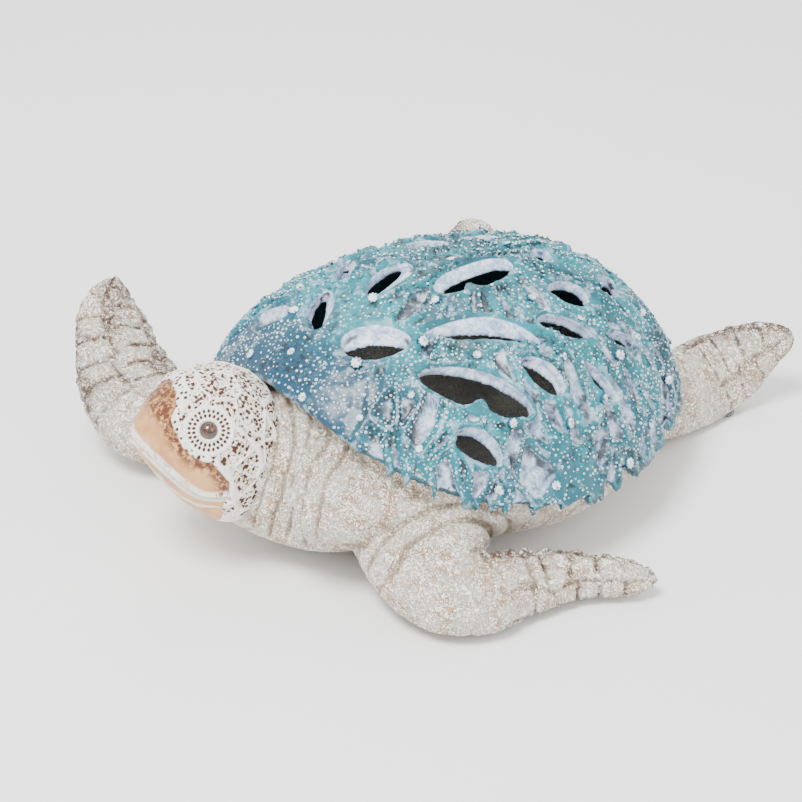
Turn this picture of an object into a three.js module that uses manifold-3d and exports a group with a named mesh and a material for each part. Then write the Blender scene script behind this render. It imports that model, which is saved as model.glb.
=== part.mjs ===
// Sea turtle table figure: a solid cast body with head and four flippers, a hollow shell with
// window openings bonded on top, and four clear bumper pads under it.
// Millimetres, +Z up. The turtle looks along -Y, its left side is +X.
import * as THREE from 'three';
import { mergeVertices } from 'three/addons/utils/BufferGeometryUtils.js';
import Module from 'manifold-3d';

// Driving dimensions
const GAP = 0.3; // bond line left between touching pieces
const SHELL_LENGTH = 210;
const SHELL_WIDTH = 184;
const SHELL_WALL = 5;
const SHELL_EGG = 0.13; // share by which the outline is wider in front than behind
const RIM_HEIGHT = 29; // lowest the dome would reach
const RIM_ARCH = 30; // how far the foot of the dome rises in front
const RIM_TAIL = 6; // and behind
const NECK_NOTCH = 0.1; // share of the dome left off over the neck
const DOME_RISE = 73; // foot of the dome to its top
const APEX_BACK = 6; // the top of the dome lies this far behind the middle
const BELLY = 3; // underside of the body above the ground
const DECK = 23; // back of the body, the floor inside the shell
const BODY_INSET = 0.955; // outline of the body under the rim, as a share of the shell's
const PAD_RADIUS = 4.5;
const HEAD_ROOT = [-3, -92, 46]; // middle of the back of the head, inside the neck
const HEAD_LENGTH = 54;
const HEAD_WIDE = 57;
const HEAD_DEEP = 60; // crown to chin where it is fullest
const HEAD_TURN = 15; // degrees toward the turtle's right
const HEAD_LIFT = 10; // how far the head rises ahead of its root
const HEAD_FULL = 0.4; // share of its length at which the head is fullest
const HEAD_HIGH = 0.7; // and at which it is highest
const HEAD_BLUNT = 0.03; // share by which the egg would run on past the beak

// Colours
const SAND_WHITE = 0xd9d2c6;
const SEA_BLUE = 0x3a97ab;
const CLEAR = 0xe6e9ea;

// Window openings: place on the dome as an angle round it in degrees (0 in front, 90 on the
// left) and as a share of the way from the top to the rim, then half length and half width,
// and the turn of the long side away from the downhill line in degrees.
const WINDOWS = [
  [60, 0.72, 24, 8, 85],
  [60, 0.88, 10, 6, 75],
  [85, 0.7, 10, 6, 50],
  [65, 0.48, 25, 6, -85],
  [65, 0.15, 20, 8, -55],
  [125, 0.5, 10, 6, 35],
  [105, 0.58, 13, 4, 50],
  [125, 0.75, 9, 3, 45],
  [105, 0.8, 11, 3, 25],
  [160, 0.35, 5, 4, 75],
  [20, 0.62, 14, 9, -55],
  [350, 0.62, 14, 5, 55],
  [335, 0.76, 10, 5, -60],
  [320, 0.48, 14, 4, 85],
  [350, 0.34, 13, 7, 30],
  [275, 0.28, 9, 6, 10],
  [225, 0.3, 10, 5, -40],
  [152, 0.66, 13, 5, 60],
  [185, 0.63, 12, 5.5, -75],
  [217, 0.62, 15, 6, 70],
  [250, 0.7, 22, 7, -80],
  [288, 0.72, 20, 6.5, 82],
  [280, 0.5, 14, 6, -75],
  [243, 0.48, 10, 4, 60],
  [313, 0.75, 9, 5, -50],
];

// Limbs: each station is the centre, the direction of the long side of the section,
// and the section's half length and half thickness.
const LIMBS = {
  neck: [
    [[6, -50, 34], [1, 0, 0], 50, 20],
    [[6, -75, 31], [1, 0, 0], 48, 29],
    [[1, -91, 37], [1, 0, 0], 37, 31],
    [[-5, -105, 44], [1, 0, 0], 26, 28],
  ],
  frontLeft: [
    [[45, -45, 27], [-0.7, -0.7, 0], 26, 18],
    [[60, -63, 22], [-0.5, -0.9, -0.1], 28, 20],
    [[83, -72, 17], [-0.1, -1, -0.25], 21, 17],
    [[96, -65, 14], [0.7, -0.65, -0.35], 18, 11],
    [[100, -43, 12], [0.75, -0.15, -0.65], 13.5, 8],
    [[106, -21, 10], [0.7, -0.3, -0.65], 10, 6],
    [[118, -3, 9], [0.6, -0.5, -0.6], 7, 4.5],
    [[126, 6, 8], [0.6, -0.5, -0.6], 3, 2.5],
  ],
  frontRight: [
    [[-48, -58, 28], [0.6, -1, 0], 24, 17],
    [[-66, -79, 23], [0.6, -1, 0], 25, 18],
    [[-83, -97, 19], [0.3, -1, 0], 26, 17],
    [[-100, -101, 24], [0, -1, 0], 24, 12],
    [[-119, -98, 35], [0, -1, 0], 20, 8],
    [[-136, -91, 47], [0, -1, 0], 15, 6],
    [[-147, -81, 58], [0, -1, 0], 5, 3],
  ],
  hindLeft: [
    [[34, 60, 23], [0.7, 0, -0.7], 15, 9],
    [[30, 100, 17], [0.65, 0, -0.75], 18, 9],
    [[25, 127, 16], [0.65, 0, -0.75], 19, 9],
    [[32, 147, 26], [0.6, 0, -0.8], 13, 6],
    [[43, 159, 36], [0.6, 0, -0.8], 4, 3],
  ],
  hindRight: [
    [[-42, 62, 20], [0.3, 1, 0], 22, 11],
    [[-70, 79, 17], [0.3, 1, 0], 24, 16],
    [[-98, 90, 25], [0.3, 1, 0], 20, 9],
    [[-121, 98, 44], [0.3, 1, 0], 9, 4],
  ],
  tail: [
    [[0, 78, 20], [1, 0, 0], 17, 9],
    [[0, 100, 15], [1, 0, 0], 10, 7],
    [[-2, 112, 12], [1, 0, 0], 3, 3],
  ],
};

// Centres of the bumper pads on the ground
const PADS = {
  pad_front_left: [84, -68],
  pad_front_right: [-80, -94],
  pad_hind_left: [34, 128],
  pad_hind_right: [-70, 82],
};

const wasm = await Module();
wasm.setup();

// Cosine of an angle in degrees
const cosine = (angle) => Math.cos(THREE.MathUtils.degToRad(angle));

// Outline that the foot of the whole dome would have, at an angle round it
function footPoint(phi) {
  const forward = cosine(phi);
  const side = cosine(phi - 90);
  return new THREE.Vector3(
    (SHELL_WIDTH / 2) * side * (1 + SHELL_EGG * forward),
    (-SHELL_LENGTH / 2) * forward,
    RIM_HEIGHT + RIM_ARCH * ((1 + forward) / 2) ** 3 + RIM_TAIL * ((1 - forward) / 2) ** 3,
  );
}

// Outer face of the dome, share 0 at the top and 1 at the rim
function domePoint(phi, share) {
  const edge = footPoint(phi);
  const rise = DOME_RISE * Math.max(0, 1 - share ** 2.3) ** 0.8;
  return new THREE.Vector3(
    edge.x * share,
    APEX_BACK + (edge.y - APEX_BACK) * share,
    THREE.MathUtils.lerp(RIM_HEIGHT, edge.z, share ** 2) + rise,
  );
}

// Where the shell really ends: the dome stops early over the neck
function rimShare(phi) {
  return 1 - NECK_NOTCH * ((1 + cosine(phi)) / 2) ** 9;
}

const rimPoint = (phi) => domePoint(phi, rimShare(phi));

// Outward normal of the dome
function domeNormal(phi, share) {
  const inner = Math.max(share, 0.02);
  const down = domePoint(phi, Math.min(inner + 0.004, 1)).sub(domePoint(phi, inner - 0.004));
  const along = domePoint(phi + 0.5, inner).sub(domePoint(phi - 0.5, inner));
  return down.cross(along).normalize();
}

// Point at a depth under the outer face, the rim pushed down by a margin
function wallPoint(phi, share, depth, margin) {
  const point = domePoint(phi, share);
  const normal = share < 0.02 ? new THREE.Vector3(0, 0, 1) : domeNormal(phi, share);
  point.addScaledVector(normal, -depth);
  point.z -= margin * share ** 8;
  return point;
}

// Closed skin over rows of points: each row is a ring, and the first and last are poles
function skin(rows) {
  const around = rows[1].length;
  const points = [rows[0][0], ...rows.slice(1, -1).flat(), rows.at(-1)[0]];
  const last = points.length - 1;
  const faces = [];
  const at = (row, column) => 1 + row * around + (column % around);
  for (let column = 0; column < around; column += 1) {
    faces.push(0, at(0, column), at(0, column + 1));
    for (let row = 0; row < rows.length - 3; row += 1) {
      const corner = at(row, column + 1);
      faces.push(at(row, column), at(row + 1, column), corner);
      faces.push(corner, at(row + 1, column), at(row + 1, column + 1));
    }
    faces.push(last, at(rows.length - 3, column + 1), at(rows.length - 3, column));
  }
  const geometry = new THREE.BufferGeometry().setFromPoints(points);
  geometry.setIndex(faces);
  return geometry;
}

// Solid of a closed geometry, its faces turned outward
function toSolid(geometry) {
  const bare = geometry.clone();
  bare.deleteAttribute('normal');
  bare.deleteAttribute('uv');
  const merged = mergeVertices(bare, 1e-4);
  const points = merged.attributes.position;
  const index = merged.index.array;
  const corner = [new THREE.Vector3(), new THREE.Vector3(), new THREE.Vector3()];
  let volume = 0;
  for (let face = 0; face < index.length; face += 3) {
    corner.forEach((point, side) => point.fromBufferAttribute(points, index[face + side]));
    volume += corner[0].dot(corner[1].cross(corner[2]));
  }
  const triangles = new Uint32Array(volume > 0 ? index : Array.from(index).reverse());
  const vertices = new Float32Array(points.array);
  return new wasm.Manifold(
    new wasm.Mesh({ numProp: 3, vertProperties: vertices, triVerts: triangles }),
  );
}

// Geometry of a solid
function toGeometry(solid) {
  const mesh = solid.getMesh();
  const geometry = new THREE.BufferGeometry();
  geometry.setAttribute('position', new THREE.BufferAttribute(mesh.vertProperties, 3));
  geometry.setIndex(new THREE.BufferAttribute(mesh.triVerts, 1));
  geometry.computeVertexNormals();
  return geometry;
}

// Shell wall between two depths under the outer face, without its openings
function shellWall(outerDepth, innerDepth, margin, around, steps) {
  const rows = [];
  for (let step = 0; step <= 2 * steps + 1; step += 1) {
    const outside = step <= steps;
    const walk = outside ? step / steps : (2 * steps + 1 - step) / steps;
    const depth = outside ? outerDepth : innerDepth;
    const row = [];
    for (let column = 0; column < around; column += 1) {
      const phi = (column * 360) / around;
      const share = rimShare(phi) * Math.sin((walk * Math.PI) / 2);
      row.push(wallPoint(phi, share, depth, margin));
    }
    rows.push(row);
  }
  return toSolid(skin(rows));
}

// Cutter of one window: an oval bar set square to the dome
function windowCutter([phi, share, long, wide, turn]) {
  const outline = new THREE.Shape().absellipse(0, 0, long, wide, 0, 2 * Math.PI);
  const reach = 13;
  const bar = new THREE.ExtrudeGeometry(outline, {
    depth: 2 * reach,
    bevelEnabled: false,
    curveSegments: 6,
  });
  const normal = domeNormal(phi, share);
  const middle = domePoint(phi, share);
  const out = new THREE.Vector3(middle.x, middle.y - APEX_BACK, 0).normalize();
  const across = new THREE.Vector3().crossVectors(normal, out).normalize();
  const down = new THREE.Vector3().crossVectors(across, normal);
  const axes = new THREE.Matrix4().makeBasis(down, across, normal);
  bar.translate(0, 0, -reach);
  bar.rotateZ(THREE.MathUtils.degToRad(turn));
  bar.applyMatrix4(axes.setPosition(middle));
  return toSolid(bar);
}

// Oval limb carried through its stations
function limb(stations, around, steps) {
  const curve = (pick) => new THREE.CatmullRomCurve3(stations.map(pick), false, 'catmullrom', 0.5);
  const centres = curve(([centre]) => new THREE.Vector3(...centre));
  const chords = curve(([, chord]) => new THREE.Vector3(...chord));
  const sizes = curve(([, , long, thick]) => new THREE.Vector3(long, thick, 0));
  const rows = [[centres.getPoint(0)]];
  for (let step = 0; step <= steps; step += 1) {
    const travel = step / steps;
    const centre = centres.getPoint(travel);
    const tangent = centres.getPoint(Math.min(travel + 0.01, 1));
    tangent.sub(centres.getPoint(Math.max(travel - 0.01, 0))).normalize();
    const chord = chords.getPoint(travel);
    chord.addScaledVector(tangent, -chord.dot(tangent)).normalize();
    const thick = new THREE.Vector3().crossVectors(tangent, chord);
    const size = sizes.getPoint(travel);
    const row = [];
    for (let column = 0; column < around; column += 1) {
      const angle = (column * 360) / around;
      const point = centre.clone().addScaledVector(chord, size.x * cosine(angle));
      row.push(point.addScaledVector(thick, size.y * cosine(angle - 90)));
    }
    rows.push(row);
  }
  rows.push([centres.getPoint(1)]);
  return toSolid(skin(rows));
}

// Stations of the head: an egg turned to the turtle's right that narrows to a blunt beak
function headStations() {
  return [0, 0.3, 0.65, 0.9, 1].map((share) => {
    const ahead = HEAD_LENGTH * share;
    const off = (share - HEAD_FULL) / (1 - HEAD_FULL + HEAD_BLUNT);
    const full = (1 - off ** 2) ** 0.6;
    const lift = HEAD_LIFT * cosine(90 * (1 - share / HEAD_HIGH)) ** 2;
    const centre = [
      HEAD_ROOT[0] - ahead * cosine(90 - HEAD_TURN),
      HEAD_ROOT[1] - ahead * cosine(HEAD_TURN),
      HEAD_ROOT[2] + lift,
    ];
    return [centre, [1, 0, 0], (HEAD_WIDE / 2) * full, (HEAD_DEEP / 2) * full];
  });
}

// Trunk of the body: belly, flanks up to the shell rim, and the back inside the shell.
// Each profile point is a share of the outline and a height between belly and rim.
function trunk(around) {
  const profile = [
    [0, 0],
    [0.35, 0],
    [0.6, 0.15],
    [0.78, 0.33],
    [0.88, 0.52],
    [BODY_INSET - 0.02, 0.78],
    [BODY_INSET, 1],
    [BODY_INSET - 0.035, 1.04],
  ];
  const rows = profile.map(([share, lift]) => {
    const row = [];
    for (let column = 0; column < around; column += 1) {
      const edge = rimPoint((column * 360) / around);
      const height = THREE.MathUtils.lerp(BELLY - 1, edge.z, lift);
      row.push(new THREE.Vector3(edge.x * share, edge.y * share, height));
    }
    return row;
  });
  const back = [0.84, 0.5, 0].map((share) => rows[0].map((unused, column) => {
    const edge = rimPoint((column * 360) / around);
    return new THREE.Vector3(edge.x * share, edge.y * share, DECK);
  }));
  return toSolid(skin([...rows, ...back]));
}

// Everything above the cut plane of the underside
function aboveBelly() {
  const block = new THREE.BoxGeometry(500, 500, 300);
  return toSolid(block.translate(0, 0, BELLY + 150));
}

function buildBody() {
  let body = trunk(40);
  for (const [name, stations] of Object.entries({ ...LIMBS, head: headStations() })) {
    const fine = name === 'head' || name === 'neck';
    body = body.add(limb(stations, fine ? 20 : 14, 2 * stations.length));
  }
  const clearance = shellWall(-GAP, SHELL_WALL + GAP, GAP, 40, 8);
  return body.subtract(clearance).intersect(aboveBelly());
}

function buildShell() {
  let shell = shellWall(0, SHELL_WALL, 0, 40, 8);
  for (const window of WINDOWS) {
    shell = shell.subtract(windowCutter(window));
  }
  return shell;
}

// Bumper pad with a chamfered edge, flat above and below
function buildPad() {
  const height = BELLY - GAP;
  const soft = 1;
  const profile = [
    new THREE.Vector2(0, 0),
    new THREE.Vector2(PAD_RADIUS - soft, 0),
    new THREE.Vector2(PAD_RADIUS, soft),
    new THREE.Vector2(PAD_RADIUS, height),
    new THREE.Vector2(0, height),
  ];
  const pad = new THREE.LatheGeometry(profile, 16);
  return toSolid(pad.rotateX(Math.PI / 2));
}

function makeMesh(name, solid, colour, roughness) {
  const material = new THREE.MeshStandardMaterial({ color: colour, roughness, metalness: 0 });
  const mesh = new THREE.Mesh(toGeometry(solid), material);
  mesh.name = name;
  return mesh;
}

const turtle = new THREE.Group();
turtle.name = 'sea_turtle';
turtle.add(makeMesh('body', buildBody(), SAND_WHITE, 0.7));
turtle.add(makeMesh('carapace', buildShell(), SEA_BLUE, 0.35));
for (const [name, [x, y]] of Object.entries(PADS)) {
  const pad = makeMesh(name, buildPad(), CLEAR, 0.2);
  pad.position.set(x, y, 0);
  turtle.add(pad);
}

// The origin lies on the ground under the middle of the whole figure
const centre = new THREE.Box3().setFromObject(turtle).getCenter(new THREE.Vector3());
turtle.position.set(-centre.x, -centre.y, 0);

export default turtle;
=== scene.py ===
import math

import bpy
import numpy as np
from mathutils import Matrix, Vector


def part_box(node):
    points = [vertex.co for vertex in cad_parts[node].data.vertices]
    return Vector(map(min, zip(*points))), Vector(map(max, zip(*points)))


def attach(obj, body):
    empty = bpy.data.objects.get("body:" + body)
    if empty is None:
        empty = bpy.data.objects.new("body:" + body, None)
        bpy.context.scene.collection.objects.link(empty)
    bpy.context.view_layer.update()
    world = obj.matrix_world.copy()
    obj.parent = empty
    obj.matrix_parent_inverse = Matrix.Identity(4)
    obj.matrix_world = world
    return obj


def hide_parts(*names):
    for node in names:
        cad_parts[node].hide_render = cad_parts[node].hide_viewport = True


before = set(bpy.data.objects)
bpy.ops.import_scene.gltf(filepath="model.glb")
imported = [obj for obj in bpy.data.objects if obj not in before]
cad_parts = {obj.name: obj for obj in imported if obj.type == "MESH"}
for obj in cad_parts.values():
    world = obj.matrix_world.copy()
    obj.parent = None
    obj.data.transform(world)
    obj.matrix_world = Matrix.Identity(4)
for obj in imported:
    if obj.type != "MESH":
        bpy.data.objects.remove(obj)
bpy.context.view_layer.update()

# Sizes below are millimetres in the turtle's own frame: +X its left, -Y ahead, +Z up, with
# the middle of the dome's foot at x 0, y 0. place() carries them to metres in the row frame.
SHELL_LENGTH = 210.0
SHELL_WIDTH = 184.0
SHELL_WALL = 5.0
SHELL_EGG = 0.13
FOOT_HEIGHT = 29.0
FOOT_ARCH = 30.0
FOOT_TAIL = 6.0
NECK_NOTCH = 0.1
APEX_BACK = 6.0
BELLY = 3.0
DECK = 23.0
BODY_INSET = 0.955
PAD_RADIUS = 4.5
SHELL_VOXEL = 1.12
BODY_VOXEL = 1.3
UP = np.array([0, 0, 1.0])
DOME_MIDDLE = np.array([0, APEX_BACK, FOOT_HEIGHT])
CAMERA_AIM = np.array([-21.0, -14.0, 29.0])
CAMERA_AZIMUTH = 54
CAMERA_ELEVATION = 30
CAMERA_DISTANCE = 1.0  # metres

shell_low, shell_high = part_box("carapace")
DOME_RISE = shell_high.z * 1000 - FOOT_HEIGHT
MIDDLE = np.array([
    (shell_low.x + shell_high.x) * 500,
    shell_high.y * 1000 - SHELL_LENGTH / 2,
    0.0,
])

# Windows of the shell: angle round the dome in degrees (0 ahead, 90 left), share of the way
# from the top to the foot, half length, half width, turn of the long side from the downhill
# line, the place of a nub on the lower edge (-1 to 1 along the window, None for none), and
# how far the uphill wall leans in over the hole, in millimetres per millimetre of depth.
WINDOWS = [
    (60, 0.72, 24, 8, 85, 0.12, 0.5),
    (60, 0.88, 10, 6, 75, None, 0.7),
    (85, 0.7, 10, 6, 50, None, 0.9),
    (65, 0.48, 25, 6, -85, None, 1.7),
    (65, 0.15, 20, 8, -55, 0.35, 1.2),
    (125, 0.5, 10, 6, 35, None, 0.1),
    (105, 0.58, 13, 4, 50, None, 0.1),
    (125, 0.75, 9, 3, 45, None, 0.1),
    (105, 0.8, 11, 3, 25, None, 0.1),
    (160, 0.35, 5, 4, 75, None, 0.1),
    (20, 0.62, 14, 9, -55, None, 2.2),
    (350, 0.62, 14, 5, 55, None, 1.2),
    (335, 0.76, 10, 5, -60, None, 0.9),
    (320, 0.48, 14, 4, 85, None, 1.8),
    (350, 0.34, 13, 7, 30, None, 1.8),
    (275, 0.28, 9, 6, 10, None, 1.0),
    (225, 0.3, 10, 5, -40, None, 0.6),
    (152, 0.66, 13, 5, 60, None, 0.7),
    (185, 0.63, 12, 5.5, -75, None, 0.7),
    (217, 0.62, 15, 6, 70, None, 0.7),
    (250, 0.7, 22, 7, -80, 0.2, 0.7),
    (288, 0.72, 20, 6.5, 82, None, 0.7),
    (280, 0.5, 14, 6, -75, None, 0.7),
    (243, 0.48, 10, 4, 60, None, 0.6),
    (313, 0.75, 9, 5, -50, None, 0.7),
]

# Limbs: centre, direction of the section's long side, half length, half thickness
LIMBS = {
    "neck": [
        ((6, -50, 34), (1, 0, 0), 50, 20),
        ((6, -75, 31), (1, 0, 0), 48, 29),
        ((1, -91, 37), (1, 0, 0), 37, 31),
        ((-5, -105, 44), (1, 0, 0), 26, 28),
    ],
    "front_left": [
        ((45, -45, 27), (-0.7, -0.7, 0), 26, 18),
        ((60, -63, 22), (-0.5, -0.9, -0.1), 28, 20),
        ((83, -72, 17), (-0.1, -1, -0.25), 21, 17),
        ((96, -65, 14), (0.7, -0.65, -0.35), 18, 11),
        ((100, -43, 12), (0.75, -0.15, -0.65), 13.5, 8),
        ((106, -21, 10), (0.7, -0.3, -0.65), 10, 6),
        ((118, -3, 9), (0.6, -0.5, -0.6), 7, 4.5),
        ((126, 6, 8), (0.6, -0.5, -0.6), 3, 2.5),
    ],
    "front_right": [
        ((-48, -58, 28), (0.6, -1, 0), 24, 17),
        ((-66, -79, 23), (0.6, -1, 0), 25, 18),
        ((-83, -97, 19), (0.3, -1, 0), 26, 17),
        ((-100, -101, 24), (0, -1, 0), 24, 12),
        ((-119, -98, 35), (0, -1, 0), 20, 8),
        ((-136, -91, 47), (0, -1, 0), 15, 6),
        ((-147, -81, 58), (0, -1, 0), 5, 3),
    ],
    "hind_left": [
        ((34, 60, 23), (0.7, 0, -0.7), 15, 9),
        ((30, 100, 17), (0.65, 0, -0.75), 18, 9),
        ((25, 127, 16), (0.65, 0, -0.75), 19, 9),
        ((32, 147, 26), (0.6, 0, -0.8), 13, 6),
        ((43, 159, 36), (0.6, 0, -0.8), 4, 3),
    ],
    "hind_right": [
        ((-42, 62, 20), (0.3, 1, 0), 22, 11),
        ((-70, 79, 17), (0.3, 1, 0), 24, 16),
        ((-98, 90, 25), (0.3, 1, 0), 20, 9),
        ((-121, 98, 46), (0.3, 1, 0), 10, 5),
    ],
    "tail": [
        ((0, 78, 20), (1, 0, 0), 17, 9),
        ((0, 100, 15), (1, 0, 0), 10, 7),
        ((-2, 112, 12), (1, 0, 0), 3, 3),
    ],
}

# Skin that fills the corner between the neck and the front rim of the shell
NECK_ROOT = [
    ((14, -58, 38), (1, 0, 0), 58, 20),
    ((12, -75, 40), (1, 0, -0.12), 52, 24),
    ((4, -89, 42), (1, 0, -0.1), 40, 27),
]

# The head's own mirror plane and measures: ahead and to the side of a middle point
HEAD_MIDDLE = np.array([-10.0, -125.0, 0.0])
HEAD_AHEAD = np.array([-0.342, -0.940, 0.0])
HEAD_SIDE = np.array([0.940, -0.342, 0.0])
# The head is an egg drawn to a beak, with its width, crown and chin each fullest in a
# different place along it
HEAD_BACK = -34.0
HEAD_TIP = 25.0
TIP_HEIGHT = 58.0
HEAD_HALF_WIDE = 29.0
CROWN_RISE = 25.0
CHIN_DROP = 41.0
WIDEST = -11.0
HIGHEST = -6.0
LOWEST = -16.0
NAPE_SHIFT = -5.0

# On the head: places are ahead, aside and height
EYE = (-2.0, 23.0, 71.0)
NOSTRIL = (11.0, 5.0, 73.0)
EYE_RADIUS = 4.0
MOUTH_CORNER = -9.0
MOUTH_LOW = 41.0
MOUTH_RISE = 19.0
CAP_REACH = 12.0  # the edge of the lace cap keeps this far from the eye, ahead and below
LACE_CELL = 12.0


def place(points):
    """Millimetres in the turtle's frame to metres in the row frame."""
    return (points + MIDDLE) / 1000


def unit(vectors):
    """Rows of vectors brought to length one."""
    return vectors / np.linalg.norm(vectors, axis=-1, keepdims=True)


def turns(count):
    """Angles evenly round a full turn."""
    return np.linspace(0, 2 * math.pi, count, endpoint=False)


def smoothstep(low, high, value):
    """0 below low, 1 above high, and 3t^2 - 2t^3 of the share t between."""
    share = np.clip((value - low) / (high - low), 0, 1)
    return share * share * (3 - 2 * share)


def bell(value, width):
    """exp(-(value / width)^2)."""
    return np.exp(-((value / width) ** 2))


def dice(cell, seed):
    """A steady random number from 0 to 1 for each whole-number cell."""
    whole = cell.astype(np.int64).astype(np.uint32)
    mixed = whole[..., 0] * np.uint32(374761393) + whole[..., 1] * np.uint32(668265263)
    mixed = mixed + whole[..., 2] * np.uint32(2246822519) + np.uint32(seed * 97 + 13)
    mixed = (mixed ^ (mixed >> np.uint32(13))) * np.uint32(1274126177)
    mixed = (mixed ^ (mixed >> np.uint32(15))) * np.uint32(2654435761)
    return ((mixed ^ (mixed >> np.uint32(16))) & np.uint32(0xFFFFFF)) / float(0xFFFFFF)


def noise(points, size, seed=0):
    """Smooth noise from -1 to 1: random lattice values blended by smoothstep weights."""
    scaled = points / size
    base = np.floor(scaled)
    part = scaled - base
    part = part * part * (3 - 2 * part)
    total = np.zeros(len(points))
    for corner in np.ndindex(2, 2, 2):
        offset = np.array(corner)
        weight = np.prod(np.where(offset == 1, part, 1 - part), axis=1)
        total += weight * dice(base + offset, seed)
    return total * 2 - 1


def rough(points, size, layers=3, seed=0):
    """Sum of noise layers, each half the size and half the height of the one before."""
    total = np.zeros(len(points))
    for layer in range(layers):
        total += noise(points, size / 2 ** layer, seed + layer) / 2 ** layer
    return total


def cells(points, size, seed=0):
    """Distance to the nearest scattered seed, the margin to the second, and its dice."""
    scaled = points / size
    base = np.floor(scaled)
    first = np.full(len(points), 9.0)
    second = first.copy()
    tone = np.zeros(len(points))
    for step in np.ndindex(3, 3, 3):
        cell = base + np.array(step) - 1
        spot = cell + np.stack([dice(cell, seed + axis) for axis in range(3)], -1)
        away = np.linalg.norm(scaled - spot, axis=1)
        nearer = away < first
        second = np.where(nearer, first, np.minimum(second, away))
        tone = np.where(nearer, dice(cell, seed + 7), tone)
        first = np.where(nearer, away, first)
    return first, second - first, tone


def through(rows, share):
    """Catmull-Rom curve through rows of numbers at shares 0 to 1 of the way."""
    rows = np.asarray(rows, float)
    spot = share * (len(rows) - 1)
    start = np.clip(spot.astype(int), 0, len(rows) - 2)
    t = (spot - start)[:, None]
    longer = np.concatenate([[2 * rows[0] - rows[1]], rows, [2 * rows[-1] - rows[-2]]])
    before, a, b, after = (longer[start + step] for step in range(4))
    return 0.5 * (
        2 * a + (b - before) * t + (2 * before - 5 * a + 4 * b - after) * t ** 2
        + (3 * a - before - 3 * b + after) * t ** 3
    )


def limb_frames(stations, share):
    """Centre, long side, thickness direction and the two half sizes along a limb."""
    rows = [(*centre, *chord, long, thick) for centre, chord, long, thick in stations]
    values = through(rows, share)
    centre = values[:, :3]
    tangent = through(rows, np.minimum(share + 0.01, 1))[:, :3]
    tangent -= through(rows, np.maximum(share - 0.01, 0))[:, :3]
    tangent = unit(tangent)
    chord = values[:, 3:6]
    chord = unit(chord - (chord * tangent).sum(1, keepdims=True) * tangent)
    return centre, chord, np.cross(tangent, chord), values[:, 6:8]


def closed_skin(grid):
    """Triangles over rings of points whose first and last ring are shrunk to one point."""
    rows, around = grid.shape[:2]
    points = np.concatenate([grid[:1, 0], grid[1:-1].reshape(-1, 3), grid[-1:, 0]])
    column = np.arange(around)
    beside = (column + 1) % around
    row = np.arange(rows - 3)[:, None] * around + 1
    a, b = row + column, row + beside
    c, d = a + around, b + around
    bands = np.concatenate([np.stack([a, c, b], -1), np.stack([b, c, d], -1)]).reshape(-1, 3)
    last = len(points) - 1
    end = 1 + (rows - 3) * around
    caps = np.concatenate([
        np.stack([np.zeros(around, int), 1 + column, 1 + beside], -1),
        np.stack([np.full(around, last), end + beside, end + column], -1),
    ])
    faces = np.concatenate([bands, caps])
    corners = points[faces]
    volume = np.einsum("ij,ij->i", corners[:, 0], np.cross(corners[:, 1], corners[:, 2])).sum()
    return points, faces if volume > 0 else faces[:, ::-1]


def limb_grid(stations, along, around, tip=0.9):
    """Ovals centre + long cos a + thick sin a carried along the limb, its tip rounded off."""
    share = np.sin(np.linspace(0, 1, along) * math.pi / 2)
    centre, chord, thick, size = limb_frames(stations, share)
    close = np.sqrt(1 - np.clip((share - tip) / (1 - tip), 0, 1) ** 2)
    close[0] = 0
    size = size * close[:, None]
    angle = turns(around)[None, :, None]
    return (
        centre[:, None] + chord[:, None] * size[:, 0, None, None] * np.cos(angle)
        + thick[:, None] * size[:, 1, None, None] * np.sin(angle)
    )


def foot(phi):
    """Foot of the whole dome at an angle: an egg-shaped oval that rises in front and behind."""
    ahead, aside = np.cos(phi), np.sin(phi)
    return np.stack([
        SHELL_WIDTH / 2 * aside * (1 + SHELL_EGG * ahead),
        -SHELL_LENGTH / 2 * ahead,
        FOOT_HEIGHT + FOOT_ARCH * ((1 + ahead) / 2) ** 3 + FOOT_TAIL * ((1 - ahead) / 2) ** 3,
    ], -1)


def rise(share):
    """Height of the dome over its foot: (1 - share^2.3)^0.8 of the rise."""
    return DOME_RISE * np.clip(1 - share ** 2.3, 0, 1) ** 0.8


def dome(phi, share):
    """Outer face of the dome: the foot drawn in towards the top, lifted by rise()."""
    edge = foot(phi)
    return np.stack([
        edge[..., 0] * share,
        APEX_BACK + (edge[..., 1] - APEX_BACK) * share,
        FOOT_HEIGHT + (edge[..., 2] - FOOT_HEIGHT) * share ** 2 + rise(share),
    ], -1)


def dome_normal(phi, share):
    """Outward normal of the dome: downhill step crossed with the step round it."""
    inner = np.maximum(share, 0.02)
    down = dome(phi, np.minimum(inner + 0.004, 1)) - dome(phi, inner - 0.004)
    along = dome(phi + 0.01, inner) - dome(phi - 0.01, inner)
    return unit(np.cross(down, along))


def rim_share(phi):
    """Share of the dome that is there: all but a notch over the neck, narrower on the right."""
    return 1 - NECK_NOTCH * ((1 + np.cos(phi)) / 2) ** np.where(np.sin(phi) < 0, 22, 9)


def shell_grid(around, steps):
    """Outer face from the top down to the rim, and back up the inner face to the top."""
    walk = np.sin(np.linspace(0, 1, steps) * math.pi / 2)
    phi = turns(around)
    share = walk[:, None] * rim_share(phi)[None]
    angle = np.broadcast_to(phi, share.shape)
    outer = dome(angle, share)
    inner = outer - dome_normal(angle, share) * SHELL_WALL
    inner[0] = outer[0] - np.array([0, 0, SHELL_WALL])
    return np.concatenate([outer, inner[::-1]])


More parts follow.
